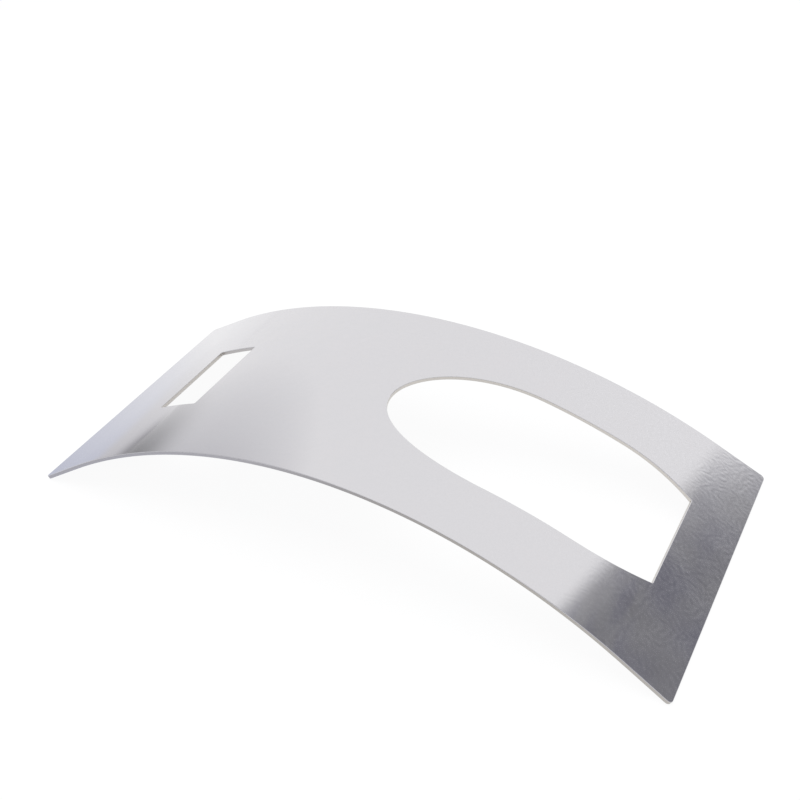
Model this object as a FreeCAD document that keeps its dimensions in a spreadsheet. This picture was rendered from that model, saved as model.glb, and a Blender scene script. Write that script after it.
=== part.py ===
import FreeCAD, Part
import math
import os
import Sketcher

# Arched table cradle: one piece of polished stainless sheet, cut flat and then rolled.
# The arch runs along X and every line across it is straight along Y. It stands on the
# lower edges of its two ends, at Z 0, and is the same to both sides of the XZ plane.
# +X is the end with the wide opening, -X the end with the narrow slot.
# Lengths named along the sheet are developed lengths, measured on the underside.

# Rolled sheet
SHEET_THICKNESS = 2.0
ROLL_RADIUS = 272.0  # of the underside, between the straight ends
STRAIGHT_END = 26.0  # length that the rolls leave straight at each end
BLANK_LENGTH = 348.0
BLANK_WIDTH = 146.0  # at the ends, to where the edge lines would meet
WAIST_DEPTH = 7.5  # how far each long edge bows in at mid length
CORNER_RADIUS = 2.0

# Wide opening, from its square end toward its rounded nose
OPENING_BAND = 27.5  # sheet left between the opening and the end of the blank
HEEL_LENGTH = 38.0  # over which the sides draw in to the square end
HEEL_RADIUS = 120.0
SIDE_LENGTH = 42.0  # of the parallel sides
NOSE_LENGTH = 63.0  # of the half-elliptic nose
OPENING_WIDTH = 68.0  # between the parallel sides

# Narrow slot
SLOT_BAND = 51.0  # sheet left between the slot and the end of the blank
SLOT_LENGTH = 26.0  # along the sheet
SLOT_WIDTH = 53.0  # across the sheet

# Stock that the trimming takes away, outside the finished blank on every side
TRIM_MARGIN = 5.0

document = FreeCAD.newDocument("ArchedCradle")
sizes = document.addObject("Spreadsheet::Sheet", "Sizes")
driving_sizes = (
    ("sheet_thickness", SHEET_THICKNESS),
    ("roll_radius", ROLL_RADIUS),
    ("straight_end", STRAIGHT_END),
    ("blank_length", BLANK_LENGTH),
    ("blank_width", BLANK_WIDTH),
    ("waist_depth", WAIST_DEPTH),
    ("corner_radius", CORNER_RADIUS),
    ("opening_band", OPENING_BAND),
    ("heel_length", HEEL_LENGTH),
    ("heel_radius", HEEL_RADIUS),
    ("side_length", SIDE_LENGTH),
    ("nose_length", NOSE_LENGTH),
    ("opening_width", OPENING_WIDTH),
    ("slot_band", SLOT_BAND),
    ("slot_length", SLOT_LENGTH),
    ("slot_width", SLOT_WIDTH),
    ("trim_margin", TRIM_MARGIN),
)
for row, (alias, value) in enumerate(driving_sizes, start=1):
    sizes.set(f"A{row}", alias.replace("_", " "))
    sizes.set(f"B{row}", str(value))
    sizes.setAlias(f"B{row}", alias)
document.recompute()

sheet_thickness = sizes.get("sheet_thickness")
roll_radius = sizes.get("roll_radius")
straight_end = sizes.get("straight_end")
trim_margin = sizes.get("trim_margin")
half_length = sizes.get("blank_length") / 2
half_angle = (half_length - straight_end) / roll_radius
centre_z = straight_end * math.sin(half_angle) - roll_radius * math.cos(half_angle)
rise = centre_z + roll_radius

# Rolled plate: the sheet seen from its long side, longer and wider than the blank
HALF_ANGLE = "((Sizes.blank_length / 2 - Sizes.straight_end) / Sizes.roll_radius * 1 rad)"
CENTRE_DROP = f"Sizes.roll_radius * cos{HALF_ANGLE} - Sizes.straight_end * sin{HALF_ANGLE}"
TANGENT_X = f"Sizes.roll_radius * sin{HALF_ANGLE}"
STRAIGHT_STOCK = "Sizes.straight_end + Sizes.trim_margin"

plate = document.addObject("PartDesign::Body", "RolledPlate")
side_plane = next(f for f in plate.Origin.OriginFeatures if f.Role == "XZ_Plane")
profile = plate.newObject("Sketcher::SketchObject", "SideProfile")
profile.AttachmentSupport = [(side_plane, "")]
profile.MapMode = "FlatFace"


def profile_point(side, height, run):
    """A point of the side view: side is -1 or +1, height is above the underside and
    run is how far it lies beyond the end of the arc, along the straight end."""
    reach = (roll_radius + height) * math.sin(half_angle) + run * math.cos(half_angle)
    level = (roll_radius + height) * math.cos(half_angle) - run * math.sin(half_angle)
    return FreeCAD.Vector(side * reach, centre_z + level, 0)


def profile_line(start, end):
    """A straight edge of the side view."""
    return profile.addGeometry(Part.LineSegment(start, end))


def profile_arc(height):
    """The arched edge of the side view at this height above the underside."""
    centre = FreeCAD.Vector(0, centre_z, 0)
    circle = Part.Circle(centre, FreeCAD.Vector(0, 0, 1), roll_radius + height)
    upright = math.pi / 2
    return profile.addGeometry(Part.ArcOfCircle(circle, upright - half_angle, upright + half_angle))


def constrain(*terms):
    """A constraint of the side view."""
    return profile.addConstraint(Sketcher.Constraint(*terms))


stock_run = straight_end + trim_margin
under_arc = profile_arc(0)
upper_arc = profile_arc(sheet_thickness)
place = {"start": 1, "end": 2, "centre": 3, "origin": (-1, 1), "upright axis": -2}
constrain("PointOnObject", under_arc, place["centre"], place["upright axis"])
constrain("Coincident", upper_arc, place["centre"], under_arc, place["centre"])
constrain("Horizontal", under_arc, place["start"], under_arc, place["end"])
profile.setExpression(
    f"Constraints[{constrain('DistanceY', under_arc, place['centre'], *place['origin'], -centre_z)}]",
    CENTRE_DROP,
)
profile.setExpression(
    f"Constraints[{constrain('Radius', under_arc, roll_radius)}]", "Sizes.roll_radius"
)
profile.setExpression(
    f"Constraints[{constrain('Radius', upper_arc, roll_radius + sheet_thickness)}]",
    "Sizes.roll_radius + Sizes.sheet_thickness",
)
tangent_x = profile_point(1, 0, 0).x
tangent_span = (under_arc, place["centre"], under_arc, place["start"])
profile.setExpression(
    f"Constraints[{constrain('DistanceX', *tangent_span, tangent_x)}]", TANGENT_X
)

for side, arc_end in ((1, place["start"]), (-1, place["end"])):
    under = profile_line(profile_point(side, 0, 0), profile_point(side, 0, stock_run))
    upper = profile_line(
        profile_point(side, sheet_thickness, 0), profile_point(side, sheet_thickness, stock_run)
    )
    cap = profile_line(
        profile_point(side, 0, stock_run), profile_point(side, sheet_thickness, stock_run)
    )
    constrain("Tangent", under_arc, arc_end, under, place["start"])
    constrain("Tangent", upper_arc, arc_end, upper, place["start"])
    constrain("Coincident", under, place["end"], cap, place["start"])
    constrain("Coincident", upper, place["end"], cap, place["end"])
    constrain("Parallel", under, upper)
    constrain("Perpendicular", under, cap)
    profile.setExpression(
        f"Constraints[{constrain('Distance', under, stock_run)}]", STRAIGHT_STOCK
    )
document.recompute()

bar = plate.newObject("PartDesign::Pad", "PlateWidth")
bar.Profile = profile
bar.SideType = "Symmetric"
bar.setExpression("Length", "Sizes.blank_width + 2 * Sizes.trim_margin")
plate.Tip = bar
document.recompute()


# Flat pattern: outlines on the blank, as edges in order, each a list of (along, across)

QUARTER_TURN = math.pi / 2
ARC_STEPS = 24


def flat_arc(centre, radii, start, sweep):
    """Points of a circular or elliptic arc on the blank, evenly spaced in angle."""
    turns = [start + sweep * step / ARC_STEPS for step in range(ARC_STEPS + 1)]
    return [
        (centre[0] + radii[0] * math.cos(turn), centre[1] + radii[1] * math.sin(turn))
        for turn in turns
    ]


def on_level(flat_point, level):
    """The point where the sheet's normal at a point of the blank crosses a level plane.
    The normals of the arched part meet on the roll's axis, those of a straight end are
    parallel, so every wall that follows them stands square to the sheet."""
    along, across = flat_point
    turn = max(-half_angle, min(half_angle, along / roll_radius))
    run = along - turn * roll_radius
    foot_x = roll_radius * math.sin(turn) + run * math.cos(turn)
    foot_z = centre_z + roll_radius * math.cos(turn) - run * math.sin(turn)
    return FreeCAD.Vector(foot_x + (level - foot_z) * math.tan(turn), across, level)


def wrapped_wire(edges, level):
    """An outline of the blank carried to a level plane. Straight edges run along or
    across the roll and stay straight; arcs become smooth curves with equal parameters,
    so that the curves of two levels pair up normal by normal."""
    wrapped = []
    for edge in edges:
        points = [on_level(flat_point, level) for flat_point in edge]
        if len(points) == 2:
            wrapped.append(Part.LineSegment(*points).toShape())
        else:
            curve = Part.BSplineCurve()
            curve.interpolate(Points=points, Parameters=[float(n) for n in range(len(points))])
            wrapped.append(curve.toShape())
    return Part.Wire(wrapped)


def wrapped_prism(name, edges):
    """The space inside an outline of the blank, with walls square to the rolled sheet."""
    levels = (-trim_margin, rise + sheet_thickness + trim_margin)
    prism = document.addObject("Part::Feature", name)
    prism.Shape = Part.makeLoft([wrapped_wire(edges, level) for level in levels], True, True)
    prism.Placement = FreeCAD.Placement()
    return prism


# Outline of the blank: each long edge is one wide arc bowed in to the waist
waist_depth = sizes.get("waist_depth")
corner_radius = sizes.get("corner_radius")
waist_radius = (half_length**2 + waist_depth**2) / (2 * waist_depth)
waist_y = sizes.get("blank_width") / 2 - waist_depth + waist_radius
corner_x = half_length - corner_radius
corner_y = waist_y - math.sqrt((waist_radius + corner_radius) ** 2 - corner_x**2)
waist_radii = (waist_radius, waist_radius)
corner_radii = (corner_radius, corner_radius)
bow = math.asin(corner_x / (waist_radius + corner_radius))
corner_sweep = QUARTER_TURN + bow
blank_prism = wrapped_prism(
    "BlankPrism",
    [
        [(half_length, -corner_y), (half_length, corner_y)],
        flat_arc((corner_x, corner_y), corner_radii, 0, corner_sweep),
        flat_arc((0, waist_y), waist_radii, bow - QUARTER_TURN, -2 * bow),
        flat_arc((-corner_x, corner_y), corner_radii, QUARTER_TURN - bow, corner_sweep),
        [(-half_length, corner_y), (-half_length, -corner_y)],
        flat_arc((-corner_x, -corner_y), corner_radii, 2 * QUARTER_TURN, corner_sweep),
        flat_arc((0, -waist_y), waist_radii, corner_sweep, -2 * bow),
        flat_arc((corner_x, -corner_y), corner_radii, -corner_sweep, corner_sweep),
    ],
)

# Wide opening: square end, sides that part along wide arcs, then a half-elliptic nose
heel_length = sizes.get("heel_length")
heel_radius = sizes.get("heel_radius")
nose_length = sizes.get("nose_length")
opening_half = sizes.get("opening_width") / 2
opening_end = half_length - sizes.get("opening_band")
side_end = opening_end - heel_length
side_start = side_end - sizes.get("side_length")
heel_turn = math.asin(heel_length / heel_radius)
heel_half = opening_half - heel_radius * (1 - math.cos(heel_turn))
heel_radii = (heel_radius, heel_radius)
nose_radii = (nose_length, opening_half)
opening_prism = wrapped_prism(
    "OpeningPrism",
    [
        [(side_start, -opening_half), (side_end, -opening_half)],
        flat_arc((side_end, heel_radius - opening_half), heel_radii, -QUARTER_TURN, heel_turn),
        [(opening_end, -heel_half), (opening_end, heel_half)],
        flat_arc(
            (side_end, opening_half - heel_radius), heel_radii, QUARTER_TURN - heel_turn, heel_turn
        ),
        [(side_end, opening_half), (side_start, opening_half)],
        flat_arc((side_start, 0), nose_radii, QUARTER_TURN, 2 * QUARTER_TURN),
    ],
)

# Narrow slot: a plain rectangle with its long sides across the sheet
slot_outer = sizes.get("slot_band") - half_length
slot_inner = slot_outer + sizes.get("slot_length")
slot_half = sizes.get("slot_width") / 2
slot_prism = wrapped_prism(
    "SlotPrism",
    [
        [(slot_outer, -slot_half), (slot_inner, -slot_half)],
        [(slot_inner, -slot_half), (slot_inner, slot_half)],
        [(slot_inner, slot_half), (slot_outer, slot_half)],
        [(slot_outer, slot_half), (slot_outer, -slot_half)],
    ],
)

# Finished sheet: the plate trimmed to the outline, then opened twice
trimmed = document.addObject("Part::Common", "TrimmedPlate")
trimmed.Base = plate
trimmed.Tool = blank_prism
opened = document.addObject("Part::Cut", "OpenedPlate")
opened.Base = trimmed
opened.Tool = opening_prism
cradle = document.addObject("Part::Cut", "CradleSheet")
cradle.Base = opened
cradle.Tool = slot_prism
cradle.Label = "cradle_sheet"
cradle.Placement = FreeCAD.Placement()
document.recompute()

# Each step has to take metal away, and every object has to be sound
steps = (plate, trimmed, opened, cradle)
for before, after in zip(steps, steps[1:]):
    if after.Shape.Volume >= before.Shape.Volume:
        raise RuntimeError(f"{after.Label} removed nothing")
for item in document.Objects:
    if "Invalid" in item.State or "Error" in item.State:
        raise RuntimeError(f"{item.Label} did not rebuild: {item.State}")
for item in (*steps, blank_prism, opening_prism, slot_prism):
    if item.Shape.isNull() or not item.Shape.isValid():
        raise RuntimeError(f"{item.Label} has a faulty shape")

os.makedirs("parts", exist_ok=True)
cradle.Shape.exportStep(f"parts/{cradle.Label}.step")
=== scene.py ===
import bpy
import numpy as np
from mathutils import Matrix, Vector, geometry


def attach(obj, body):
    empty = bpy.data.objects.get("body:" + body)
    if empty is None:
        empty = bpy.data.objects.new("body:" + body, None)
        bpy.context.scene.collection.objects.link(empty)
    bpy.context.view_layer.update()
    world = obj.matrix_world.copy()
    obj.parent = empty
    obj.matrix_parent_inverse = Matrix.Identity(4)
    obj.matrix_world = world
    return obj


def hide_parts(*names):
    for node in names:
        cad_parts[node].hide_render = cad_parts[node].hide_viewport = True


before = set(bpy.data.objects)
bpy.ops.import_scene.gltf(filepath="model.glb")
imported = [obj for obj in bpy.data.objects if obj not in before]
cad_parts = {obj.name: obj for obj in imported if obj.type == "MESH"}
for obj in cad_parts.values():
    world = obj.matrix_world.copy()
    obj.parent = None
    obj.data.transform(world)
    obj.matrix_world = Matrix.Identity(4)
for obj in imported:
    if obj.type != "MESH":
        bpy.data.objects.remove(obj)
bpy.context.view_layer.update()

# Point of view
# The photograph's camera, solved from the corners and edges of the sheet: about half a
# metre away, in front of the end with the wide opening and looking down 37 degrees.
CAMERA_PLACE = Vector((0.21898, -0.34620, 0.36149))
CAMERA_RIGHT = Vector((0.877211, 0.475340, -0.067469)).normalized()
CAMERA_AHEAD = Vector((-0.414443, 0.678784, -0.606209)).normalized()
CAMERA_LENS_MM = 49.22
SENSOR_MM = 36.0
NEAREST_SEEN_M = 0.01

camera = bpy.data.objects.new("camera", bpy.data.cameras.new("camera"))
camera.data.sensor_width = SENSOR_MM
camera.data.lens = CAMERA_LENS_MM
camera.data.clip_start = NEAREST_SEEN_M
camera_up = CAMERA_RIGHT.cross(CAMERA_AHEAD)
camera.matrix_world = Matrix.Translation(CAMERA_PLACE) @ Matrix(
    (CAMERA_RIGHT, camera_up, -CAMERA_AHEAD)
).transposed().to_4x4()
bpy.context.scene.collection.objects.link(camera)
bpy.context.scene.camera = camera

# Rolled sheet
# One piece of stainless steel 2 mm thick. It is laser cut flat, with both openings, its
# long edges bowed in to a waist, then mirror polished and rolled to an arch. It stands
# on its two end edges, and nothing is fixed to it.
SHEET_MM = 2.0
ROLL_RADIUS_MM = 272.0  # of the underside, between the straight ends
STRAIGHT_END_MM = 26.0
HALF_LENGTH_MM = 174.0
HALF_WIDTH_MM = 73.0  # at the ends
WAIST_MM = 7.5
CORNER_RADIUS_MM = 2.0
CUT_RADIUS_MM = 0.6  # left by the laser in the inner corners
EDGE_BREAK_MM = 0.3  # rounding of every edge by the polishing wheel
OPENING_END_MM = 146.5
HEEL_LENGTH_MM = 38.0
HEEL_RADIUS_MM = 120.0
SIDE_LENGTH_MM = 42.0
NOSE_LENGTH_MM = 63.0
OPENING_HALF_MM = 34.0
SLOT_ENDS_MM = (-123.0, -97.0)
SLOT_HALF_MM = 26.5
MESH_STEP_MM = 2.5  # distance between neighbouring points of the mesh
LEAST_ARC_POINTS = 5
LEAST_LINE_POINTS = 2
MM_IN_M = 1000
QUARTER_TURN = np.pi / 2

half_angle = (HALF_LENGTH_MM - STRAIGHT_END_MM) / ROLL_RADIUS_MM
roll_axis_z = STRAIGHT_END_MM * np.sin(half_angle) - ROLL_RADIUS_MM * np.cos(half_angle)


def lean(along):
    """Angle of the sheet at a developed length: the length over the roll's radius, held
    at its end value on the straight ends."""
    return np.clip(along / ROLL_RADIUS_MM, -half_angle, half_angle)


def rolled(along, across, height):
    """Flat pattern to space, in metres: go round the roll's axis by the angle of the
    sheet at the radius plus the height above the underside, then straight on by what is
    left of the length."""
    turn = lean(along)
    run = along - turn * ROLL_RADIUS_MM
    radius = ROLL_RADIUS_MM + height
    x = radius * np.sin(turn) + run * np.cos(turn)
    z = roll_axis_z + radius * np.cos(turn) - run * np.sin(turn)
    return np.stack([x, across + 0 * x, z], axis=-1) / MM_IN_M


def rolled_direction(along, part_along, part_across, part_up):
    """A direction given along the sheet, across it and square to it, in space."""
    turn = lean(along)
    x = part_along * np.cos(turn) + part_up * np.sin(turn)
    z = part_up * np.cos(turn) - part_along * np.sin(turn)
    return np.stack([x, part_across + 0 * x, z], axis=-1)


def cut_arc(centre, radii, start, sweep, bulge):
    """Points of an arc of the cut: centre plus the radii times cosine and sine of the
    angle, with the unit normal that points out of the metal. bulge is 1 where the metal
    is on the arc's hollow side and -1 where it is on its round side."""
    count = max(LEAST_ARC_POINTS, int(np.ceil(abs(sweep) * max(radii) / MESH_STEP_MM)))
    angle = start + sweep * np.arange(count) / count
    round_way = np.stack([np.cos(angle), np.sin(angle)], axis=-1)
    normal = bulge * round_way / np.array(radii)
    normal /= np.linalg.norm(normal, axis=1, keepdims=True)
    return np.array(centre) + round_way * np.array(radii), normal


def cut_line(start, end, normal):
    """Points of a straight cut, from its start up to but not including its end."""
    start, end = np.array(start, float), np.array(end, float)
    count = max(LEAST_LINE_POINTS, int(np.ceil(np.linalg.norm(end - start) / MESH_STEP_MM)))
    share = np.arange(count)[:, None] / count
    return start + share * (end - start), np.tile(np.array(normal, float), (count, 1))


def cut_loop(cuts, is_hole):
    """One closed cut with its normals, turned so that the metal is on its left."""
    points, normals = (np.concatenate(part) for part in zip(*cuts))
    return (points[::-1], normals[::-1]) if is_hole else (points, normals)


# The outline: circular waist edges that run tangent into the corner arcs
waist_radius = (HALF_LENGTH_MM**2 + WAIST_MM**2) / (2 * WAIST_MM)
waist_y = HALF_WIDTH_MM - WAIST_MM + waist_radius
corner_x = HALF_LENGTH_MM - CORNER_RADIUS_MM
corner_y = waist_y - np.sqrt((waist_radius + CORNER_RADIUS_MM) ** 2 - corner_x**2)
bow = np.arcsin(corner_x / (waist_radius + CORNER_RADIUS_MM))
waist_radii = (waist_radius, waist_radius)
corner_radii = (CORNER_RADIUS_MM, CORNER_RADIUS_MM)
corner_sweep = QUARTER_TURN + bow
outline = cut_loop(
    [
        cut_line((HALF_LENGTH_MM, -corner_y), (HALF_LENGTH_MM, corner_y), (1, 0)),
        cut_arc((corner_x, corner_y), corner_radii, 0, corner_sweep, 1),
        cut_arc((0, waist_y), waist_radii, bow - QUARTER_TURN, -2 * bow, -1),
        cut_arc((-corner_x, corner_y), corner_radii, QUARTER_TURN - bow, corner_sweep, 1),
        cut_line((-HALF_LENGTH_MM, corner_y), (-HALF_LENGTH_MM, -corner_y), (-1, 0)),
        cut_arc((-corner_x, -corner_y), corner_radii, 2 * QUARTER_TURN, corner_sweep, 1),
        cut_arc((0, -waist_y), waist_radii, corner_sweep, -2 * bow, -1),
        cut_arc((corner_x, -corner_y), corner_radii, -corner_sweep, corner_sweep, 1),
    ],
    is_hole=False,
)

# The wide opening: half-elliptic nose, parallel sides, drawn-in heel and square end
side_end = OPENING_END_MM - HEEL_LENGTH_MM
side_start = side_end - SIDE_LENGTH_MM
heel_y = HEEL_RADIUS_MM - OPENING_HALF_MM
heel_radii = (HEEL_RADIUS_MM, HEEL_RADIUS_MM)
inner_radius = HEEL_RADIUS_MM - CUT_RADIUS_MM
heel_turn = np.arcsin((HEEL_LENGTH_MM - CUT_RADIUS_MM) / inner_radius)
cut_x = OPENING_END_MM - CUT_RADIUS_MM
cut_y = inner_radius * np.cos(heel_turn) - heel_y
cut_radii = (CUT_RADIUS_MM, CUT_RADIUS_MM)
heel_rest = QUARTER_TURN - heel_turn
opening = cut_loop(
    [
        cut_line((side_start, -OPENING_HALF_MM), (side_end, -OPENING_HALF_MM), (0, 1)),
        cut_arc((side_end, heel_y), heel_radii, -QUARTER_TURN, heel_turn, -1),
        cut_arc((cut_x, -cut_y), cut_radii, -heel_rest, heel_rest, -1),
        cut_line((OPENING_END_MM, -cut_y), (OPENING_END_MM, cut_y), (-1, 0)),
        cut_arc((cut_x, cut_y), cut_radii, 0, heel_rest, -1),
        cut_arc((side_end, -heel_y), heel_radii, heel_rest, heel_turn, -1),
        cut_line((side_end, OPENING_HALF_MM), (side_start, OPENING_HALF_MM), (0, -1)),
        cut_arc(
            (side_start, 0), (NOSE_LENGTH_MM, OPENING_HALF_MM), QUARTER_TURN, 2 * QUARTER_TURN, -1
        ),
    ],
    is_hole=True,
)

# The narrow slot: a rectangle with the same small radius in its corners
slot_low, slot_high = SLOT_ENDS_MM[0] + CUT_RADIUS_MM, SLOT_ENDS_MM[1] - CUT_RADIUS_MM
slot_side = SLOT_HALF_MM - CUT_RADIUS_MM
slot = cut_loop(
    [
        cut_line((slot_low, -SLOT_HALF_MM), (slot_high, -SLOT_HALF_MM), (0, 1)),
        cut_arc((slot_high, -slot_side), cut_radii, -QUARTER_TURN, QUARTER_TURN, -1),
        cut_line((SLOT_ENDS_MM[1], -slot_side), (SLOT_ENDS_MM[1], slot_side), (-1, 0)),
        cut_arc((slot_high, slot_side), cut_radii, 0, QUARTER_TURN, -1),
        cut_line((slot_high, SLOT_HALF_MM), (slot_low, SLOT_HALF_MM), (0, -1)),
        cut_arc((slot_low, slot_side), cut_radii, QUARTER_TURN, QUARTER_TURN, -1),
        cut_line((SLOT_ENDS_MM[0], slot_side), (SLOT_ENDS_MM[0], -slot_side), (1, 0)),
        cut_arc((slot_low, -slot_side), cut_radii, 2 * QUARTER_TURN, QUARTER_TURN, -1),
    ],
    is_hole=True,
)


def inside(points, loop):
    """Which points a closed loop goes round: those from which a ray toward +along
    crosses it an odd number of times."""
    start, end = loop, np.roll(loop, -1, axis=0)
    x, y = points[:, :1], points[:, 1:]
    straddles = (start[:, 1] > y) != (end[:, 1] > y)
    rise = end[:, 1] - start[:, 1]
    rise = np.where(rise == 0, 1, rise)
    crossing = start[:, 0] + (y - start[:, 1]) / rise * (end[:, 0] - start[:, 0])
    return (straddles & (crossing > x)).sum(axis=1) % 2 == 1


def on_metal(points, loops):
    """Which points of the flat pattern are inside the outline and outside the holes."""
    return inside(points, loops[0]) & ~inside(points, loops[1]) & ~inside(points, loops[2])


FILL_HULL = 0  # the kind of triangulation that fills everything round the points
SAME_POINT_MM = 1e-6


def polished_face(loops):
    """Points and triangles of the flat pattern inside the given loops, with the number of
    the next point round its loop for each point of a loop. A square lattice of points,
    kept off the loops by half a step, is joined to them by Delaunay triangles."""
    rim = np.concatenate(loops)
    reach = np.array([HALF_LENGTH_MM, HALF_WIDTH_MM])
    steps = np.ceil(2 * reach / MESH_STEP_MM).astype(int)
    lattice = np.stack(
        np.meshgrid(*(np.linspace(-r, r, n + 1) for r, n in zip(reach, steps)), indexing="ij"), -1
    ).reshape(-1, 2)
    lattice = lattice[on_metal(lattice, loops)]
    gap = np.linalg.norm(lattice[:, None] - rim[None], axis=2).min(axis=1)
    points = np.concatenate([rim, lattice[gap > MESH_STEP_MM / 2]])
    first = np.cumsum([0] + [len(loop) for loop in loops])
    follower = np.concatenate(
        [start + (np.arange(end - start) + 1) % (end - start) for start, end in zip(first, first[1:])]
    )
    edges = [tuple(edge) for edge in np.stack([np.arange(len(rim)), follower], axis=-1).tolist()]
    flat = [Vector(point) for point in points.tolist()]
    found = geometry.delaunay_2d_cdt(flat, edges, [], FILL_HULL, SAME_POINT_MM)
    points = np.array([point[:] for point in found[0]])
    triangles = np.array([tuple(face) for face in found[2]])
    triangles = triangles[on_metal(points[triangles].mean(axis=1), loops)]
    return points, triangles, follower


cuts = (outline, opening, slot)
rims = [points - EDGE_BREAK_MM * normals for points, normals in cuts]
face_points, face_triangles, follower = polished_face(rims)
rim_points = np.concatenate([points for points, normals in cuts])
rim_normals = np.concatenate([normals for points, normals in cuts])

# The edge's section, carried round every cut: a quarter round off the top, the cut wall,
# and a quarter round into the underside. Height and inset follow the cosine and sine of
# the angle from the sheet's normal.
BREAK_STEPS = 4
section_angle = np.linspace(0, 2 * QUARTER_TURN, 2 * BREAK_STEPS + 1)
section_angle = np.insert(section_angle, BREAK_STEPS, QUARTER_TURN)
section_out = EDGE_BREAK_MM * (np.sin(section_angle) - 1)
section_up = EDGE_BREAK_MM * np.cos(section_angle) + np.where(
    np.arange(len(section_angle)) <= BREAK_STEPS, SHEET_MM - EDGE_BREAK_MM, EDGE_BREAK_MM
)
ring_points = rim_points[None] + section_out[1:-1, None, None] * rim_normals[None]
ring_along, ring_across = ring_points[..., 0], ring_points[..., 1]
ring_up = section_up[1:-1, None]
ring_place = rolled(ring_along, ring_across, ring_up)
ring_out = np.sin(section_angle)[1:-1, None]
ring_normal = rolled_direction(
    ring_along,
    ring_out * rim_normals[None, :, 0],
    ring_out * rim_normals[None, :, 1],
    np.cos(section_angle)[1:-1, None],
)

face_along, face_across = face_points[:, 0], face_points[:, 1]
vertices = np.concatenate(
    [
        rolled(face_along, face_across, SHEET_MM),
        rolled(face_along, face_across, 0.0),
        ring_place.reshape(-1, 3),
    ]
)
up = rolled_direction(face_along, 0.0, 0.0, 1.0)
normals = np.concatenate([up, -up, ring_normal.reshape(-1, 3)])

face_count = len(face_points)
rim_count = len(rim_points)
ring_index = 2 * face_count + np.arange(ring_place.shape[0] * rim_count).reshape(-1, rim_count)
ring_index = np.vstack([np.arange(rim_count), ring_index, face_count + np.arange(rim_count)])
edge_quads = np.stack(
    [
        ring_index[:-1],
        ring_index[1:],
        ring_index[1:][:, follower],
        ring_index[:-1][:, follower],
    ],
    axis=-1,
)

# The grinder reaches the wall and the first step of the rounding on each side of it
is_ground = np.zeros(edge_quads.shape[:2], np.int32)
is_ground[BREAK_STEPS - 1 : BREAK_STEPS + 2] = 1
faces = [
    *face_triangles.tolist(),
    *(face_triangles[:, ::-1] + face_count).tolist(),
    *edge_quads.reshape(-1, 4).tolist(),
]

sheet_mesh = bpy.data.meshes.new("cradle")
sheet_mesh.from_pydata(vertices.tolist(), [], faces)
sheet_mesh.polygons.foreach_set("use_smooth", np.ones(len(faces), bool))
sheet_mesh.polygons.foreach_set(
    "material_index",
    np.concatenate([np.zeros(2 * len(face_triangles), np.int32), is_ground.reshape(-1)]),
)
sheet_mesh.normals_split_custom_set_from_vertices(normals.tolist())
sheet_mesh.update()
cradle = bpy.data.objects.new("cradle", sheet_mesh)
bpy.context.scene.collection.objects.link(cradle)


def linear(hex_colour):
    """An sRGB hex colour as linear red, green, blue and alpha: each channel over 255,
    plus 0.055, over 1.055, to the power 2.4, or over 12.92 where it is very dark."""
    channels = [int(hex_colour[i : i + 2], 16) / 255 for i in (1, 3, 5)]
    return [c / 12.92 if c <= 0.04045 else ((c + 0.055) / 1.055) ** 2.4 for c in channels] + [1.0]


def add_node(tree, kind, settings=None, **links):
    """A node of a tree, with its properties and sockets set. A link gives a socket's
    name, or its number after an i, and the output that feeds it."""
    node = tree.nodes.new(kind)
    for name, value in (settings or {}).items():
        if isinstance(name, str) and hasattr(node, name):
            setattr(node, name, value)
        else:
            node.inputs[name].default_value = value
    for name, output in links.items():
        socket = int(name[1:]) if name[1:].isdigit() else name.replace("_", " ")
        tree.links.new(output, node.inputs[socket])
    return node


def new_material(name):
    """An empty node material and its tree."""
    material = bpy.data.materials.new(name)
    material.use_nodes = True
    material.node_tree.nodes.clear()
    return material, material.node_tree


# Mirror-polished stainless steel, grade 304, buffed by hand on a mop. The eye gets clear
# reflections in a neutral light-grey metal. Curved scale-like buffing strokes 3 to 4 mm
# long turn with the mop's path, and a faint haze gathers in clouds a few centimetres wide,
# both seen mostly where the steel mirrors something dark.
STEEL = "#dcdadd"
STEEL_CLOUD = "#d7d6d9"
STEEL_ROUGHNESS = (0.03, 0.07)  # between the clouds and in them
CLOUD_MM = 24.0
CLOUD_DETAIL = 5.0
CLOUD_GRAIN = 0.72
CLOUD_RANGE = (0.3, 0.66)  # the stretch of the noise from no cloud to full cloud
THINNEST_CLOUD = 0.45  # what is left of a cloud between the clouds
STROKE_LENGTH_MM = 3.6
STROKES_IN_LENGTH = 1.3  # how many strokes lie side by side in one stroke's length
STROKE_TURN_MM = 18.0
STROKE_SWING = 2 * np.pi  # how far the strokes turn to either side
STROKE_ORDER = 0.5  # at 1 they all turn together, at 0 each lies its own way
STROKE_RANGE = (0.27, 0.73)
STROKE_HEIGHT_M = 0.0000048
BUFFED_LENGTH_M = (0.02, 0.12)  # the strokes grow strong toward the wide opening's end
BUFFED_LENGTH_SHARE = (0.12, 1.0)
BUFFED_WIDTH_M = (-0.065, 0.055)  # and from its front corner to its back corner
BUFFED_WIDTH_SHARE = (0.4, 1.4)
ROLL_WAVE_MM = 90.0  # slow waves that the rolls leave in the mirror
ROLL_WAVE_HEIGHT_M = 0.0006
ROLL_WAVE_STRENGTH = 0.3
SOFT_DETAIL = 1.0  # of the slow noises, which have no fine grain
HAZE_START = -0.38
HAZE_OF_CLOUD = 0.9
HAZE_OF_STROKE = 1.1
HAZE_FULL = 2.0  # far enough up that the strokes keep their soft sides
METAL_SHARE = (1.0, 0.82)  # from clear steel to full haze

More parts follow.
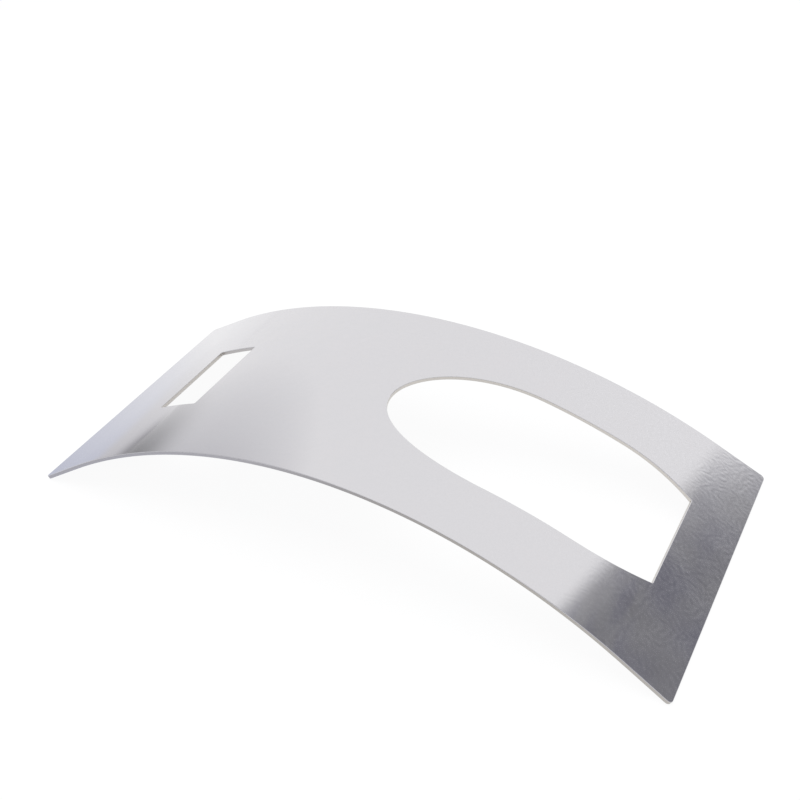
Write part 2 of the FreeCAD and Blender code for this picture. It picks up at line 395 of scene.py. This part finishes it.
polished_steel, tree = new_material("mirror_polished_stainless_steel")
place = add_node(tree, "ShaderNodeTexCoord").outputs["Object"]
clouds = add_node(
    tree,
    "ShaderNodeTexNoise",
    {"Scale": MM_IN_M / CLOUD_MM, "Detail": CLOUD_DETAIL, "Roughness": CLOUD_GRAIN},
    Vector=place,
).outputs["Fac"]
cloud_share = add_node(
    tree,
    "ShaderNodeMapRange",
    {"From Min": CLOUD_RANGE[0], "From Max": CLOUD_RANGE[1], "To Min": THINNEST_CLOUD},
    Value=clouds,
).outputs["Result"]
turning = add_node(
    tree, "ShaderNodeTexNoise", {"Scale": MM_IN_M / STROKE_TURN_MM, "Detail": SOFT_DETAIL}, Vector=place
).outputs["Fac"]
stroke_angle = add_node(
    tree, "ShaderNodeMapRange", {"To Min": -STROKE_SWING, "To Max": STROKE_SWING}, Value=turning
).outputs["Result"]
strokes = add_node(
    tree,
    "ShaderNodeTexGabor",
    {
        "Scale": MM_IN_M / STROKE_LENGTH_MM,
        "Frequency": STROKES_IN_LENGTH,
        "Anisotropy": STROKE_ORDER,
    },
    i0=place,
    i4=stroke_angle,
).outputs["Value"]
stroke_height = add_node(
    tree, "ShaderNodeMapRange", {"From Min": STROKE_RANGE[0], "From Max": STROKE_RANGE[1]}, Value=strokes
).outputs["Result"]
parts = add_node(tree, "ShaderNodeSeparateXYZ", Vector=place).outputs
stroke_share = cloud_share
for part, span, reach in (
    (parts["X"], BUFFED_LENGTH_M, BUFFED_LENGTH_SHARE),
    (parts["Y"], BUFFED_WIDTH_M, BUFFED_WIDTH_SHARE),
):
    buffed = add_node(
        tree,
        "ShaderNodeMapRange",
        {"From Min": span[0], "From Max": span[1], "To Min": reach[0], "To Max": reach[1]},
        Value=part,
    ).outputs["Result"]
    stroke_share = add_node(
        tree, "ShaderNodeMath", {"operation": "MULTIPLY"}, i0=buffed, i1=stroke_share
    ).outputs["Value"]
stroke_height = add_node(
    tree, "ShaderNodeMath", {"operation": "MULTIPLY"}, i0=stroke_height, i1=stroke_share
).outputs["Value"]
waves = add_node(
    tree, "ShaderNodeTexNoise", {"Scale": MM_IN_M / ROLL_WAVE_MM, "Detail": SOFT_DETAIL}, Vector=place
).outputs["Fac"]
wave_bump = add_node(
    tree,
    "ShaderNodeBump",
    {"Strength": ROLL_WAVE_STRENGTH, "Distance": ROLL_WAVE_HEIGHT_M},
    Height=waves,
).outputs["Normal"]
stroke_bump = add_node(
    tree,
    "ShaderNodeBump",
    {"Strength": 1.0, "Distance": STROKE_HEIGHT_M},
    Height=stroke_height,
    Normal=wave_bump,
).outputs["Normal"]
steel_colour = add_node(
    tree,
    "ShaderNodeMix",
    {"data_type": "RGBA", 6: linear(STEEL), 7: linear(STEEL_CLOUD)},
    Factor=cloud_share,
).outputs[2]
steel_roughness = add_node(
    tree,
    "ShaderNodeMapRange",
    {"To Min": STEEL_ROUGHNESS[0], "To Max": STEEL_ROUGHNESS[1]},
    Value=cloud_share,
).outputs["Result"]
haze = add_node(
    tree, "ShaderNodeMath", {"operation": "MULTIPLY_ADD", 1: HAZE_OF_CLOUD, 2: HAZE_START}, i0=cloud_share
).outputs["Value"]
haze = add_node(
    tree, "ShaderNodeMath", {"operation": "MULTIPLY_ADD", 1: HAZE_OF_STROKE}, i0=stroke_height, i2=haze
).outputs["Value"]
metal_share = add_node(
    tree,
    "ShaderNodeMapRange",
    {"From Max": HAZE_FULL, "To Min": METAL_SHARE[0], "To Max": METAL_SHARE[1]},
    Value=haze,
).outputs["Result"]
steel_surface = add_node(
    tree,
    "ShaderNodeBsdfPrincipled",
    Base_Color=steel_colour,
    Metallic=metal_share,
    Roughness=steel_roughness,
    Normal=stroke_bump,
).outputs["BSDF"]
add_node(tree, "ShaderNodeOutputMaterial", Surface=steel_surface)

# Ground edge of the same steel. The eye gets a soft-shining band, lighter where it faces
# white, with fine lines from the grit that took off the laser's burr.
EDGE_STEEL = "#dbd7d2"
EDGE_STEEL_DARK = "#c6c2bd"
EDGE_ROUGHNESS = (0.25, 0.45)
GRIT_LINE_MM = 0.5
GRIT_DETAIL = 3.0
GRIT_GRAIN = 0.7
GRIT_HEIGHT_M = 0.00002
GRIT_STRENGTH = 0.3

ground_edge, tree = new_material("ground_stainless_edge")
place = add_node(tree, "ShaderNodeTexCoord").outputs["Object"]
grit = add_node(
    tree,
    "ShaderNodeTexNoise",
    {"Scale": MM_IN_M / GRIT_LINE_MM, "Detail": GRIT_DETAIL, "Roughness": GRIT_GRAIN},
    Vector=place,
).outputs["Fac"]
edge_colour = add_node(
    tree,
    "ShaderNodeMix",
    {"data_type": "RGBA", 6: linear(EDGE_STEEL), 7: linear(EDGE_STEEL_DARK)},
    Factor=grit,
).outputs[2]
edge_roughness = add_node(
    tree, "ShaderNodeMapRange", {"To Min": EDGE_ROUGHNESS[0], "To Max": EDGE_ROUGHNESS[1]}, Value=grit
).outputs["Result"]
edge_bump = add_node(
    tree, "ShaderNodeBump", {"Strength": GRIT_STRENGTH, "Distance": GRIT_HEIGHT_M}, Height=grit
).outputs["Normal"]
edge_surface = add_node(
    tree,
    "ShaderNodeBsdfPrincipled",
    {"Metallic": 1.0},
    Base_Color=edge_colour,
    Roughness=edge_roughness,
    Normal=edge_bump,
).outputs["BSDF"]
add_node(tree, "ShaderNodeOutputMaterial", Surface=edge_surface)

cradle.data.materials.append(polished_steel)
cradle.data.materials.append(ground_edge)
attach(cradle, "root")
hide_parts("cradle_sheet")

# Dark flag
# A soft-edged black card stands far out to the left, out of the picture, and draws the
# short dark streak across the foot of the arch. It is worked out here once, for the walls
# of the studio, whose light it dims, and for the table top, which the steel mirrors just
# below the horizon, where it is painted shade in the colour that glossy rays see.
FLAG_NEAR_DEG = (-52.5, -62.5)
FLAG_FAR_DEG = (-80.0, -66.0)
FLAG_FOOT_DEG = (-5.0, 2.5)
FLAG_HEAD_DEG = (15.0, 4.0)
FLAG_DEPTH = 0.9


def soft_share(tree, *edges):
    """How much there is of a thing with soft edges, from 0 to 1: the product of one smooth
    step for each edge, which gives a value, where its step starts and where it is full."""
    steps = [
        add_node(
            tree,
            "ShaderNodeMapRange",
            {"interpolation_type": "SMOOTHSTEP", "From Min": start, "From Max": full},
            Value=value,
        ).outputs["Result"]
        for value, (start, full) in edges
    ]
    share = steps[0]
    for step in steps[1:]:
        share = add_node(
            tree, "ShaderNodeMath", {"operation": "MULTIPLY"}, i0=share, i1=step
        ).outputs["Value"]
    return share


def heading(tree, direction):
    """Bearing of a direction from +Y toward +X, and its elevation, both in degrees: the
    arctangent of x over y, and the arcsine of z where the direction's length is one."""
    way = add_node(tree, "ShaderNodeVectorMath", {"operation": "NORMALIZE"}, i0=direction).outputs[0]
    way = add_node(tree, "ShaderNodeSeparateXYZ", Vector=way).outputs
    bearing = add_node(tree, "ShaderNodeMath", {"operation": "ARCTAN2"}, i0=way["X"], i1=way["Y"])
    elevation = add_node(tree, "ShaderNodeMath", {"operation": "ARCSINE"}, i0=way["Z"])
    return [
        add_node(tree, "ShaderNodeMath", {"operation": "DEGREES"}, i0=angle.outputs[0]).outputs["Value"]
        for angle in (bearing, elevation)
    ]


def flag_light(tree, bearing, elevation):
    """Share of the light that the flag lets by in a direction: one, less the flag's depth
    where it covers that direction."""
    cover = soft_share(
        tree,
        (bearing, FLAG_NEAR_DEG),
        (bearing, FLAG_FAR_DEG),
        (elevation, FLAG_FOOT_DEG),
        (elevation, FLAG_HEAD_DEG),
    )
    return add_node(
        tree, "ShaderNodeMath", {"operation": "MULTIPLY_ADD", 1: -FLAG_DEPTH, 2: 1.0}, i0=cover
    ).outputs["Value"]


# Studio floor
# A white table top that runs out of sight. It shows nearly white to the camera, and a small
# part of it is lit paint, which keeps a faint soft shadow. In the steel its colour carries
# painted shade: a cool grey toward the front left, where the studio shades it, the dark
# flag's streak, and a dimmer patch close in front of the arch for the arch's own shade.
FLOOR_HALF_M = 40.0
FLOOR_WHITE = "#ffffff"
# painted shade: the table's colours as the steel sees them, cool grey toward the front left and neutral
# grey far out
FLOOR_SHADED = "#c5c9da"
FLOOR_SHADED_FAR = "#c6c5c9"
FLOOR_GLOW = 0.93
FLOOR_PAINT = "#f4f4f6"
SHADE_SLANT = 0.655  # how far the shade's edge runs toward -Y for each step toward +X
SHADE_EDGES_M = (-0.182, -0.037)
LEFT_FLANK_M = (-0.125, -0.060, 0.028)  # the place on the arch that mirrors the flag
FAR_FADE_DEG = (-14.0, -6.5)  # seen from there, the blue shade turns neutral
# painted shadow of the arch on the table close in front of it, seen only in the steel
FRONT_SHADE_X_M = (-0.09, -0.01)  # the dimmer floor close in front, which the cut edge mirrors
FRONT_SHADE_Y_M = (-0.060, -0.080)
FRONT_SHADE_DEPTH = 0.32

floor_corners = [
    (x * FLOOR_HALF_M, y * FLOOR_HALF_M, 0) for x, y in ((-1, -1), (1, -1), (1, 1), (-1, 1))
]
floor_mesh = bpy.data.meshes.new("floor")
floor_mesh.from_pydata(floor_corners, [], [(0, 1, 2, 3)])
floor = bpy.data.objects.new("floor", floor_mesh)
bpy.context.scene.collection.objects.link(floor)

table_top, tree = new_material("white_table_top")
path = add_node(tree, "ShaderNodeLightPath").outputs
place = add_node(tree, "ShaderNodeTexCoord").outputs["Object"]
parts = add_node(tree, "ShaderNodeSeparateXYZ", Vector=place).outputs
slant = add_node(
    tree, "ShaderNodeMath", {"operation": "MULTIPLY_ADD", 1: SHADE_SLANT}, i0=parts["X"], i2=parts["Y"]
).outputs["Value"]
out_of_shade = add_node(
    tree, "ShaderNodeMapRange", {"From Min": SHADE_EDGES_M[0], "From Max": SHADE_EDGES_M[1]}, Value=slant
).outputs["Result"]
from_flank = add_node(
    tree, "ShaderNodeVectorMath", {"operation": "SUBTRACT", 1: LEFT_FLANK_M}, i0=place
).outputs[0]
bearing, elevation = heading(tree, from_flank)
shaded_floor = add_node(
    tree,
    "ShaderNodeMix",
    {"data_type": "RGBA", 6: linear(FLOOR_SHADED), 7: linear(FLOOR_SHADED_FAR)},
    Factor=soft_share(tree, (elevation, FAR_FADE_DEG)),
).outputs[2]
mirrored_floor = add_node(
    tree,
    "ShaderNodeMix",
    {"data_type": "RGBA", 7: linear(FLOOR_WHITE)},
    Factor=out_of_shade,
    i6=shaded_floor,
).outputs[2]
# painted shadow: the table darker close in front of the arch, for glossy rays only
front = soft_share(tree, (parts["X"], FRONT_SHADE_X_M), (parts["Y"], FRONT_SHADE_Y_M))
front_shade_factor = add_node(
    tree, "ShaderNodeMath", {"operation": "MULTIPLY_ADD", 1: -FRONT_SHADE_DEPTH, 2: 1.0}, i0=front
).outputs["Value"]
# painted shade in the table's colour for glossy rays: the flag's streak times the arch's shadow in front
painted_shade_factor = add_node(
    tree,
    "ShaderNodeMath",
    {"operation": "MULTIPLY"},
    i0=flag_light(tree, bearing, elevation),
    i1=front_shade_factor,
).outputs["Value"]
mirrored_floor = add_node(
    tree, "ShaderNodeVectorMath", {"operation": "SCALE"}, i0=mirrored_floor, Scale=painted_shade_factor
).outputs[0]
floor_colour = add_node(
    tree,
    "ShaderNodeMix",
    {"data_type": "RGBA", 6: linear(FLOOR_WHITE)},
    Factor=path["Is Glossy Ray"],
    i7=mirrored_floor,
).outputs[2]
seen = path["Is Camera Ray"]
for kind in ("Is Glossy Ray", "Is Transmission Ray"):
    seen = add_node(
        tree, "ShaderNodeMath", {"operation": "MAXIMUM"}, i0=seen, i1=path[kind]
    ).outputs["Value"]
paint = add_node(tree, "ShaderNodeBsdfDiffuse", {"Color": linear(FLOOR_PAINT)}).outputs["BSDF"]
glow = add_node(tree, "ShaderNodeEmission", {"Strength": 1.0}, Color=floor_colour).outputs["Emission"]
shown = add_node(tree, "ShaderNodeMixShader", {0: FLOOR_GLOW}, i1=paint, i2=glow).outputs["Shader"]
surface = add_node(tree, "ShaderNodeMixShader", i0=seen, i1=paint, i2=shown).outputs["Shader"]
add_node(tree, "ShaderNodeOutputMaterial", Surface=surface)
floor.data.materials.append(table_top)

# Studio light
# A wide white backdrop stands behind the table under a white ceiling. Light-grey walls
# go round the rest and sweep softly into the floor. A darker cluttered stretch of them to
# the right is what the end with the wide opening mirrors. One soft lamp hangs overhead.
BACKDROP_WHITE = "#ffffff"
LEFT_FADE_DEG = (-63.7, -53.3)
LEFT_FADE_SLANT = 0.37  # degrees of bearing for each degree up
RIGHT_FADE_DEG = (36.1, 32.0)  # the right end of the backdrop
RIGHT_GLOW_DEG = (40.5, 34.5)  # and what it lights of the wall beside it
RIGHT_GLOW_SHARE = 0.22
CEILING_DEG = (52.0, 70.0)
SWEEP_DEG = (20.0, 1.0)
NO_SWEEP_DEG = ((-85.0, -68.0), (20.0, 0.0))  # the table runs on straight between these
WALL_GREY = "#d0d0d4"
CLUTTER_GREY = "#848487"
CLUTTER_SHADE = "#757580"
CLUTTER_SCALE = 24.0
CLUTTER_DETAIL = 2.0
CLUTTER_RANGE = (0.35, 0.65)
CLUTTER_NEAR_DEG = (20.0, 30.0)
CLUTTER_FAR_DEG = (66.0, 52.0)
CLUTTER_FOOT_DEG = (8.0, 20.0)
LAMP_SIDE_M = 1.6
LAMP_HEIGHT_M = 1.8
LAMP_WATTS = 26.0

world = bpy.data.worlds.new("studio")
bpy.context.scene.world = world
world.use_nodes = True
tree = world.node_tree
tree.nodes.clear()
way = add_node(tree, "ShaderNodeTexCoord").outputs["Generated"]
bearing, elevation = heading(tree, way)

slanted = add_node(
    tree, "ShaderNodeMath", {"operation": "MULTIPLY_ADD", 1: -LEFT_FADE_SLANT}, i0=elevation, i2=bearing
).outputs["Value"]
lit_left = add_node(
    tree, "ShaderNodeMapRange", {"From Min": LEFT_FADE_DEG[0], "From Max": LEFT_FADE_DEG[1]}, Value=slanted
).outputs["Result"]
right_glow = add_node(
    tree,
    "ShaderNodeMath",
    {"operation": "MULTIPLY", 1: RIGHT_GLOW_SHARE},
    i0=soft_share(tree, (bearing, RIGHT_GLOW_DEG)),
).outputs["Value"]
lit_right = add_node(
    tree,
    "ShaderNodeMath",
    {"operation": "MULTIPLY_ADD", 1: 1 - RIGHT_GLOW_SHARE},
    i0=soft_share(tree, (bearing, RIGHT_FADE_DEG)),
    i2=right_glow,
).outputs["Value"]
backdrop = add_node(
    tree, "ShaderNodeMath", {"operation": "MULTIPLY"}, i0=lit_left, i1=lit_right
).outputs["Value"]
ceiling = soft_share(tree, (elevation, CEILING_DEG))
swept = add_node(
    tree,
    "ShaderNodeMath",
    {"operation": "SUBTRACT", 0: 1.0},
    i1=soft_share(tree, *((bearing, stop) for stop in NO_SWEEP_DEG)),
).outputs["Value"]
sweep = add_node(
    tree,
    "ShaderNodeMath",
    {"operation": "MULTIPLY"},
    i0=swept,
    i1=soft_share(tree, (elevation, SWEEP_DEG)),
).outputs["Value"]
lit = backdrop
for white in (ceiling, sweep):
    lit = add_node(tree, "ShaderNodeMath", {"operation": "MAXIMUM"}, i0=lit, i1=white).outputs["Value"]

specks = add_node(
    tree, "ShaderNodeTexNoise", {"Scale": CLUTTER_SCALE, "Detail": CLUTTER_DETAIL}, Vector=way
).outputs["Fac"]
clutter = add_node(
    tree,
    "ShaderNodeMix",
    {"data_type": "RGBA", 6: linear(CLUTTER_SHADE), 7: linear(CLUTTER_GREY)},
    Factor=soft_share(tree, (specks, CLUTTER_RANGE)),
).outputs[2]
clutter_share = soft_share(
    tree,
    (elevation, CLUTTER_FOOT_DEG),
    (bearing, CLUTTER_NEAR_DEG),
    (bearing, CLUTTER_FAR_DEG),
)
walls = add_node(
    tree,
    "ShaderNodeMix",
    {"data_type": "RGBA", 6: linear(WALL_GREY)},
    Factor=clutter_share,
    i7=clutter,
).outputs[2]
studio_colour = add_node(
    tree, "ShaderNodeMix", {"data_type": "RGBA", 7: linear(BACKDROP_WHITE)}, Factor=lit, i6=walls
).outputs[2]
studio = add_node(
    tree,
    "ShaderNodeBackground",
    Color=studio_colour,
    Strength=flag_light(tree, bearing, elevation),
).outputs["Background"]
add_node(tree, "ShaderNodeOutputWorld", Surface=studio)

lamp = bpy.data.objects.new("overhead_lamp", bpy.data.lights.new("overhead_lamp", "AREA"))
lamp.data.size = LAMP_SIDE_M
lamp.data.energy = LAMP_WATTS
lamp.location = (0.0, 0.0, LAMP_HEIGHT_M)
lamp.visible_glossy = False  # its image would draw a hard white line along the edges
bpy.context.scene.collection.objects.link(lamp)

bpy.context.scene.view_settings.view_transform = "Standard"
